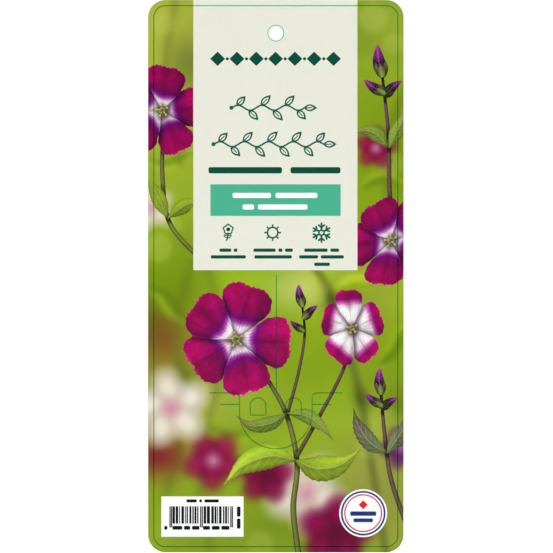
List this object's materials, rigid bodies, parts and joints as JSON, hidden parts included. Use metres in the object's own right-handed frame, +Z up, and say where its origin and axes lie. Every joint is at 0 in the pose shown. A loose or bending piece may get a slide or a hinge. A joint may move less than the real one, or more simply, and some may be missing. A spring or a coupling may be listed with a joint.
{
  "type": "printed die-cut plastic plant label",
  "caption": "Flat printed plastic plant label with rounded corners, a hang hole at the top, and a die-cut tongue, slits and tabs that clip it over a pot's rim.",
  "frame": {"origin": "centre of the hang hole, halfway through the sheet", "axes": "+Z up along the label's length, +X across it to the right as the print is read, -Y out of the printed face"},
  "size_m": [0.1022, 0.0006, 0.221],
  "materials": {
    "printed_plastic": "satin printed polypropylene, plain white on the back"
  },
  "bodies": {
    "root": {"label_sheet": "printed_plastic"}
  },
  "joints": []
}
